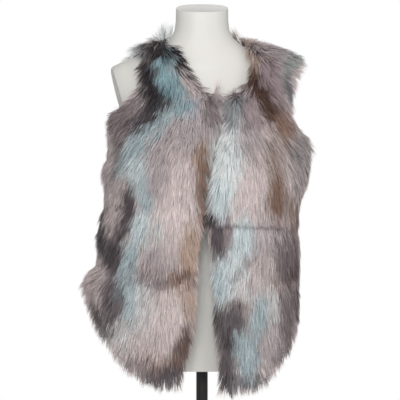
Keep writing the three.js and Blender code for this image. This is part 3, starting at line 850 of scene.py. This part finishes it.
    def edges_near(self, mesh: Mesh, points: Array) -> dict[str, Array]:
        """Measures how the cloth's edges hold the pile near them.

        Args:
            mesh: The backing's mesh.
            points: Its points.

        Returns:
            At each point, outward: the way off the nearest edge; tug: the edge's pull from 0
            to 1; lift: the lift that it gives; and room: how far a hair may go that way.
        """
        shape = bmesh.new()
        shape.from_mesh(mesh)
        rims = []
        for edge in shape.edges:
            if not edge.is_boundary:
                continue
            ends = [vert.co for vert in edge.verts]
            middle = (ends[0] + ends[1]) / 2
            way = way_off(edge, middle)
            kind = self.edge_kind(middle, way)
            level = self.trim_end is not None and abs(middle.y) > 2 * self.side_band
            if kind is Edge.SEAM and not (level and middle.x < self.trim_end):
                continue
            if kind is Edge.NAPE:
                way = (way * 0.85 + UP).normalized()
            for share in (0.1, 0.3, 0.5, 0.7, 0.9):
                rims.append((ends[0].lerp(ends[1], share), way, kind))
        shape.free()
        tree = tree_of([place for place, _, _ in rims])
        outward = np.zeros((len(points), 3))
        tug, lift, room = np.zeros(len(points)), np.zeros(len(points)), np.ones(len(points))
        for i, point in enumerate(points):
            _, index, distance = tree.find(point)
            _, way, kind = rims[index]
            outward[i] = way
            if kind is not Edge.SEAM:
                tug[i] = max(0.0, 1 - distance / self.edge_reach) ** kind.fade
            lift[i] = kind.lift
            room[i] = distance + kind.overhang * MM + self.tuck
        return {"outward": outward, "tug": tug, "lift": lift, "room": room}

    def leans(self, points: Array) -> Array:
        """The pile's lean at each point, in degrees, from the nearest combings."""
        total = np.zeros(len(points))
        weights = np.zeros(len(points))
        for comb in COMBS[self.side]:
            across = (points[:, 0] / MM - comb.x) / self.comb_reach[0]
            up = (points[:, 2] / MM - comb.z) / self.comb_reach[1]
            weight = np.exp(-(across**2 + up**2)) + 1e-9
            total += weight * comb.lean
            weights += weight
        lean = total / weights
        return lean if self.side is Side.FRONT else -lean

    def dye_and_shade(self, places: Array, shift: Array) -> Array:
        """The fur's colour at each place, painted shade of its creases and partings included.

        Args:
            places: Points of the cloth.
            shift: How far off each one takes its colour, across and up, in millimetres.

        Returns:
            Linear colours.
        """
        x = places[:, 0] / MM + shift[:, 0]
        z = places[:, 2] / MM + shift[:, 1]
        y = places[:, 1] / MM
        # waves turn the patches' outlines, and more so from front to back round the sides
        turned = smoothstep(150, 205, np.abs(x))
        z = z + turned * (24 * np.sin(y / 22.0) + 10 * np.sin(y / 11.0 + z / 60.0))
        x = x + turned * 16 * np.sin(y / 17.0 + z / 45.0)
        x, z = (
            x + self.dye_wave * (np.sin(z / 21.0 + 1.3) * 0.6 + np.sin(z / 47.0 + x / 31.0)),
            z + self.dye_wave * (np.sin(x / 17.0 + 0.4) * 0.6 + np.sin(x / 39.0 - z / 27.0)),
        )
        colour = np.tile(DyeAndShade.ROSE.linear(), (len(places), 1))
        for patch in PATCHES[self.side]:
            turn = math.radians(patch.lean)
            dx, dz = x - patch.x, z - patch.z
            along = -dz * math.cos(turn) + dx * math.sin(turn)
            side = dx * math.cos(turn) + dz * math.sin(turn)
            far = np.sqrt((side / patch.wide) ** 2 + (along / patch.high) ** 2)
            share = patch.strength * (1 - smoothstep(0.6, 1.35, far))
            colour += (patch.dye_and_shade.linear() - colour) * share[:, None]
        return colour

    def pick(self, cloth: Cloth, count: int) -> dict[str, Array]:
        """Places hairs evenly at random over the cloth.

        Args:
            cloth: The sampled cloth.
            count: How many.

        Returns:
            The cloth's values at each hair, and its extra length as a factor.
        """
        corners = cloth.values["root"][cloth.triangles]
        sides = np.cross(corners[:, 1] - corners[:, 0], corners[:, 2] - corners[:, 0])
        areas = np.linalg.norm(sides, axis=1)
        chosen = self.rng.choice(len(areas), count, p=areas / areas.sum())
        r1, r2 = np.sqrt(self.rng.random(count)), self.rng.random(count)
        shares = np.stack([1 - r1, r1 * (1 - r2), r1 * r2], axis=1)
        rows = cloth.triangles[chosen]

        def blended(values: Array) -> Array:
            """A value of the cloth at each hair."""
            weights = shares if values.ndim == 1 else shares[:, :, None]
            return (values[rows] * weights).sum(axis=1)

        hairs = {name: blended(values) for name, values in cloth.values.items()}
        for name in ("normal", "comb", "outward"):
            hairs[name] = unit(hairs[name])
        hairs["extra"] = np.where(hairs["lift"] > Edge.HEM.lift + 0.03, self.nape_extra, 1.0)
        if self.side is Side.FRONT:
            self.raise_wisp(hairs)
        return hairs

    def raise_wisp(self, hairs: dict[str, Array]) -> None:
        """Turns the hairs of the wisp to its own lean, free of the edge."""
        x, z = hairs["root"][:, 0] / MM, hairs["root"][:, 2] / MM
        near = np.hypot(x - WISP.x, z - WISP.z) < WISP_REACH
        lean = math.radians(WISP.lean)
        hairs["comb"][near] = (math.sin(lean), 0.0, -math.cos(lean))
        hairs["tug"][near] = 0.0
        hairs["room"][near] = 1.0
        hairs["extra"][near] = self.wisp_extra

    def paths(self, hairs: dict[str, Array]) -> Array:
        """The line of each hair: up from the cloth, then over along the combing.

        Args:
            hairs: Hair values from pick, with lengths and heights.

        Returns:
            An array of hairs by STEPS by 3.
        """
        rise = hairs["height"]
        reach = np.sqrt(np.maximum(hairs["length"] ** 2 - rise**2, (8 * MM) ** 2)) * 0.88
        off = hairs["outward"]
        comb_off = (hairs["comb"] * off).sum(axis=1)
        side = hairs["comb"] - off * comb_off[:, None]
        lift = comb_off * (1 - hairs["tug"]) + hairs["lift"] * hairs["tug"]
        lift = np.minimum(lift, hairs["room"] / reach)
        lateral = np.linalg.norm(side, axis=1)
        stretch = np.sqrt(np.maximum(1 - lift**2, 0)) / np.maximum(lateral, 0.5)
        way = side * stretch[:, None] + off * lift[:, None]
        u = STEPS[None, :, None]
        rise = rise * (1 - 0.45 * hairs["tug"] ** 2)
        up = (1 - (1 - u) ** 2.1) * rise[:, None, None] * hairs["normal"][:, None, :]
        over = u**1.45 * reach[:, None, None] * way[:, None, :]
        sag = -(u**2.4) * (reach * 0.10)[:, None, None] * np.array(UP)
        return hairs["root"][:, None, :] + up + over + sag

    def grow(self, cloth: Cloth) -> tuple[Array, Array, Array]:
        """Grows the pile in locks.

        Args:
            cloth: The sampled cloth.

        Returns:
            The hairs' lines, widths' directions, and colours.
        """
        rng, count, number = self.rng, self.hairs, int(self.area / self.lock_size**2)
        locks = self.pick(cloth, number)
        sway = rng.normal(0, self.sway, number)
        turned = np.cross(locks["normal"], locks["comb"])
        locks["comb"] = unit(locks["comb"] + turned * np.tan(np.clip(sway, -0.6, 0.6))[:, None])
        locks["height"] = locks["pile"] * rng.uniform(0.84, 1.06, number)
        locks["length"] = self.hair_length * locks["extra"] * rng.uniform(0.82, 1.12, number)
        locks["room"] = locks["room"] * rng.uniform(0.65, 1.4, number)
        flank = smoothstep(150, 200, np.abs(locks["root"][:, 0]) / MM)
        free = locks["tug"] * (locks["lift"] > 0.65)
        tuft = rng.random(number) < self.tuft_share * np.maximum(free, 0.4 * flank)
        locks["room"][tuft] *= self.tuft_room
        locks["height"][tuft] *= self.tuft_rise
        lock_lines = self.paths(locks)
        tone = rng.normal(1.0, 0.05, number).clip(0.85, 1.15)
        grip = np.where(tuft, self.tuft_grip, rng.uniform(*self.lock_grip, number))

        hairs = self.pick(cloth, count)
        tree = tree_of(locks["root"])
        owner = np.array([tree.find(root)[1] for root in hairs["root"]])
        own_turn = np.cross(hairs["normal"], hairs["comb"])
        stray = rng.normal(0, self.sway, count)
        hairs["comb"] = unit(hairs["comb"] + own_turn * stray[:, None])
        under = rng.random(count) ** 0.6
        hairs["room"] = hairs["room"] * rng.uniform(0.7, 1.35, count)
        hairs["height"] = hairs["pile"] * (0.35 + 0.68 * under)
        hairs["length"] = self.hair_length * hairs["extra"] * (0.55 + 0.5 * under)
        lines = self.paths(hairs)
        hold = (grip[owner][:, None] * STEPS[None, :])[:, :, None]
        lines += (lock_lines[owner] - lines) * hold
        low = smoothstep(0.86, 0.79, hairs["root"][:, 2])[:, None]
        shift = rng.normal(0, self.lock_shift, (number, 2))[owner]
        shift += rng.normal(0, self.hair_shift, (count, 2))
        colour = self.dye_and_shade(lines[:, 1] * (1 - low) + lines[:, 2] * low, shift)
        colour = colour * (tone[owner] * rng.normal(1.0, 0.15, count).clip(0.6, 1.4))[:, None]
        direction = unit(lines[:, 2] - lines[:, 1])
        twist = rng.normal(0, 0.35, count)[:, None]
        flat = unit(np.cross(direction, hairs["normal"]))
        flat = unit(flat + twist * hairs["normal"])
        return lines, flat, colour

    def fur_mesh(self, name: str, lines: Array, flat: Array, colour: Array) -> Mesh:
        """Joins hairs into one mesh of tapering ribbons.

        Args:
            name: The mesh's name.
            lines: Each hair's points from root to tip.
            flat: The direction across each hair.
            colour: Each hair's colour.

        Returns:
            The mesh, with its colour and painted shade, along and baking map.
        """
        count, levels = lines.shape[:2]
        half = flat[:, None, :] * (self.hair_width / 2 * TAPER)[None, :, None]
        wide = np.stack([lines - half, lines + half], axis=2)
        body = wide[:, : levels - 1].reshape(count, -1, 3)
        points = np.concatenate([body, lines[:, -1:, :]], axis=1)
        each = points.shape[1]
        quads = [[2 * k, 2 * k + 1, 2 * k + 3, 2 * k + 2] for k in range(levels - 2)]
        tip = [each - 3, each - 2, each - 1]
        corners = np.array(sum(quads, []) + tip)
        starts = np.arange(count)[:, None] * each
        loops = (starts + corners[None, :]).ravel()
        sizes = np.tile([4] * len(quads) + [3], count)
        mesh = bpy.data.meshes.new(name)
        mesh.vertices.add(count * each)
        mesh.vertices.foreach_set("co", points.astype(np.float32).ravel())
        mesh.loops.add(len(loops))
        mesh.loops.foreach_set("vertex_index", loops.astype(np.int32))
        mesh.polygons.add(len(sizes))
        begins = np.concatenate([[0], np.cumsum(sizes)[:-1]])
        mesh.polygons.foreach_set("loop_start", begins.astype(np.int32))
        mesh.polygons.foreach_set("use_smooth", np.ones(len(sizes), bool))
        mesh.update(calc_edges=True)
        heights = np.repeat(STEPS, 2)[:-1]
        along = mesh.attributes.new("along", "FLOAT", "POINT")
        along.data.foreach_set("value", np.tile(heights, count).astype(np.float32))
        rgba = np.concatenate([colour.clip(0, 1), np.ones((count, 1))], axis=1)
        dye_and_shade = mesh.attributes.new("dye_and_shade", "FLOAT_COLOR", "POINT")
        dye_and_shade.data.foreach_set("color", np.repeat(rgba, each, axis=0).astype(np.float32).ravel())
        self.lay_out(mesh, count, corners, heights)
        return mesh

    def lay_out(self, mesh: Mesh, count: int, corners: Array, heights: Array) -> None:
        """Gives each hair its own cell of the baking map.

        Args:
            mesh: The fur's mesh.
            count: How many hairs it has.
            corners: The points of one hair, face by face.
            heights: How far along the hair each of its points is.
        """
        cells = math.ceil(math.sqrt(count))
        number = np.arange(count)
        u0 = (number % cells) / cells
        v0 = (number // cells) / cells
        sides = np.array([0.12, 0.88] * 3 + [0.5])[corners]
        ups = (0.06 + 0.88 * heights)[corners]
        uv = np.stack([u0[:, None] + sides / cells, v0[:, None] + ups / cells], axis=2)
        layer = mesh.uv_layers.new(name="OFBake")
        layer.data.foreach_set("uv", uv.astype(np.float32).ravel())

    def build(self, fur: Material, knit: Material) -> None:
        """Args:
            fur: The pile's finish.
            knit: The backing's finish.
        """
        mesh = self.backing_mesh()
        cloth = self.sample(mesh)
        backing = add_object("backing_" + self.node, mesh, knit)
        wall = backing.modifiers.new("wall", "SOLIDIFY")
        wall.thickness = self.backing_thickness
        wall.offset = 1.0
        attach(backing, "root")
        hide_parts(self.node)
        lines, flat, colour = self.grow(cloth)
        across = len(self.fur_names) > 1
        order = np.argsort(lines[:, 0, 0]) if across else np.arange(self.hairs)
        for name, part in zip(self.fur_names, np.array_split(order, len(self.fur_names))):
            fur_mesh = self.fur_mesh(name, lines[part], flat[part], colour[part])
            piece = add_object(name, fur_mesh, fur)
            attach(piece, "root")
            log.info("%s: %d hairs", name, len(part))
        log.info("%s: %d faces", backing.name, len(mesh.polygons))


@dataclass
class Vest:
    """The four sewn panels."""

    def panels(self) -> list[FurPanel]:
        """The panels, with the size each was cut to."""
        return [
            FurPanel(
                "right_front", Side.FRONT, (0.30, 0.78), 0.160, 47000,
                ("fur_right_front_side", "fur_right_front_edge"), 11,
            ),
            FurPanel(
                "left_front_upper", Side.FRONT, (0.26, 0.42), 0.078, 26000,
                ("fur_left_front_upper",), 12, seam_z=0.500, trim_end=150 * MM,
            ),
            FurPanel(
                "left_front_lower", Side.FRONT, (0.25, 0.36), 0.072, 22000,
                ("fur_left_front_lower",), 13, seam_z=0.500,
            ),
            FurPanel(
                "back", Side.BACK, (0.56, 0.72), 0.310, 78000,
                ("fur_back_right", "fur_back_left"), 14, outer_limit=0.5, level_shrink=0.1,
                dye_wave=13.0,
            ),
        ]

    def build(self) -> None:
        """Builds every panel."""
        fur = FurFinish().material()
        knit = BackingFinish().material()
        for panel in self.panels():
            panel.build(fur, knit)


@dataclass
class DressForm:
    """The form and its stand."""

    def build(self) -> None:
        """Builds the form's skin, the post and the base."""
        HardPiece("dress_form", "form", sharp_deg=34.0, rim=2.2 * MM).build(FormFinish().material())
        paint = StandFinish().material()
        HardPiece("stand_post", "stand", rim=0.0).build(paint)
        HardPiece("stand_base", "stand", rim=0.6 * MM).build(paint)


@dataclass
class Studio:
    """A white studio: pale floor, soft lights and the camera."""

    distance: float = 3.0
    elevation: float = 4.0
    aim: tuple[float, float, float] = (-0.0043, 0.0, 0.5357)
    chest: tuple[float, float, float] = (0.0, 0.0, 0.55)
    view_width: float = 0.860
    floor_radius: float = 0.41
    world_light: float = 0.45

    def place(self, data: ID, place: Vector, target: Vector) -> Object:
        """Links a camera or light that looks from a place at a target."""
        thing = bpy.data.objects.new(data.name, data)
        bpy.context.scene.collection.objects.link(thing)
        thing.location = place
        thing.rotation_euler = (target - place).to_track_quat("-Z", "Y").to_euler()
        return thing

    def camera(self) -> None:
        """Places the camera level with the chest, straight in front."""
        data = bpy.data.cameras.new("camera")
        data.lens = data.sensor_width * self.distance / self.view_width
        tilt = math.radians(self.elevation)
        back = Vector((0, -math.cos(tilt), math.sin(tilt)))
        aim = Vector(self.aim)
        bpy.context.scene.camera = self.place(data, aim + back * self.distance, aim)

    def floor(self) -> None:
        """A pale round floor under the base."""
        disc = bmesh.new()
        bmesh.ops.create_circle(disc, cap_ends=True, segments=96, radius=self.floor_radius)
        bmesh.ops.translate(disc, verts=disc.verts, vec=(0, 0, -0.0005))
        mesh = bpy.data.meshes.new("floor")
        disc.to_mesh(mesh)
        disc.free()
        shader = Shader("pale_floor", {"Roughness": 0.8})
        pale, shade = (0.86, 0.86, 0.85, 1.0), (0.82, 0.82, 0.81, 1.0)
        shader.feed("Base Color", shader.mix(shader.noise(5.0), pale, shade))
        add_object("floor", mesh, shader.material)

    def light(self, name: str, place: Sequence[float], size: float, watts: float) -> None:
        """Adds a soft square light, with its side in metres, aimed at the chest."""
        data = bpy.data.lights.new(name, "AREA")
        data.size = size
        data.energy = watts
        self.place(data, Vector(place), Vector(self.chest))

    def world(self) -> None:
        """White all round, and dimmer as a light than as a backdrop."""
        world = bpy.data.worlds.new("white")
        bpy.context.scene.world = world
        world.use_nodes = True
        tree = world.node_tree
        seen = tree.nodes["Background"]
        fill = tree.nodes.new("ShaderNodeBackground")
        for node, strength in ((seen, 1.0), (fill, self.world_light)):
            node.inputs["Color"].default_value = (1, 1, 1, 1)
            node.inputs["Strength"].default_value = strength
        path = tree.nodes.new("ShaderNodeLightPath")
        mix = tree.nodes.new("ShaderNodeMixShader")
        for i, socket in enumerate((path.outputs["Is Camera Ray"], fill.outputs[0], seen.outputs[0])):
            tree.links.new(socket, mix.inputs[i])
        tree.links.new(mix.outputs[0], tree.nodes["World Output"].inputs["Surface"])

    def build(self) -> None:
        """Sets up the studio."""
        self.camera()
        self.floor()
        self.world()
        self.light("key", (-0.35, -3.2, 1.4), 1.8, 53)
        self.light("gleam", (-0.05, -2.3, 2.4), 0.3, 10)
        self.light("fill", (1.6, -2.2, 1.0), 1.6, 16)
        self.light("back", (0.0, 2.4, 1.4), 1.6, 12)
        bpy.context.scene.view_settings.view_transform = "Standard"
        log.info("studio: camera, floor and lights")


def main() -> None:
    """Builds the part and its studio."""
    logging.basicConfig(level=logging.INFO, format="%(name)s %(message)s")
    Studio().build()
    DressForm().build()
    Vest().build()


if __name__ == "__main__":
    main()
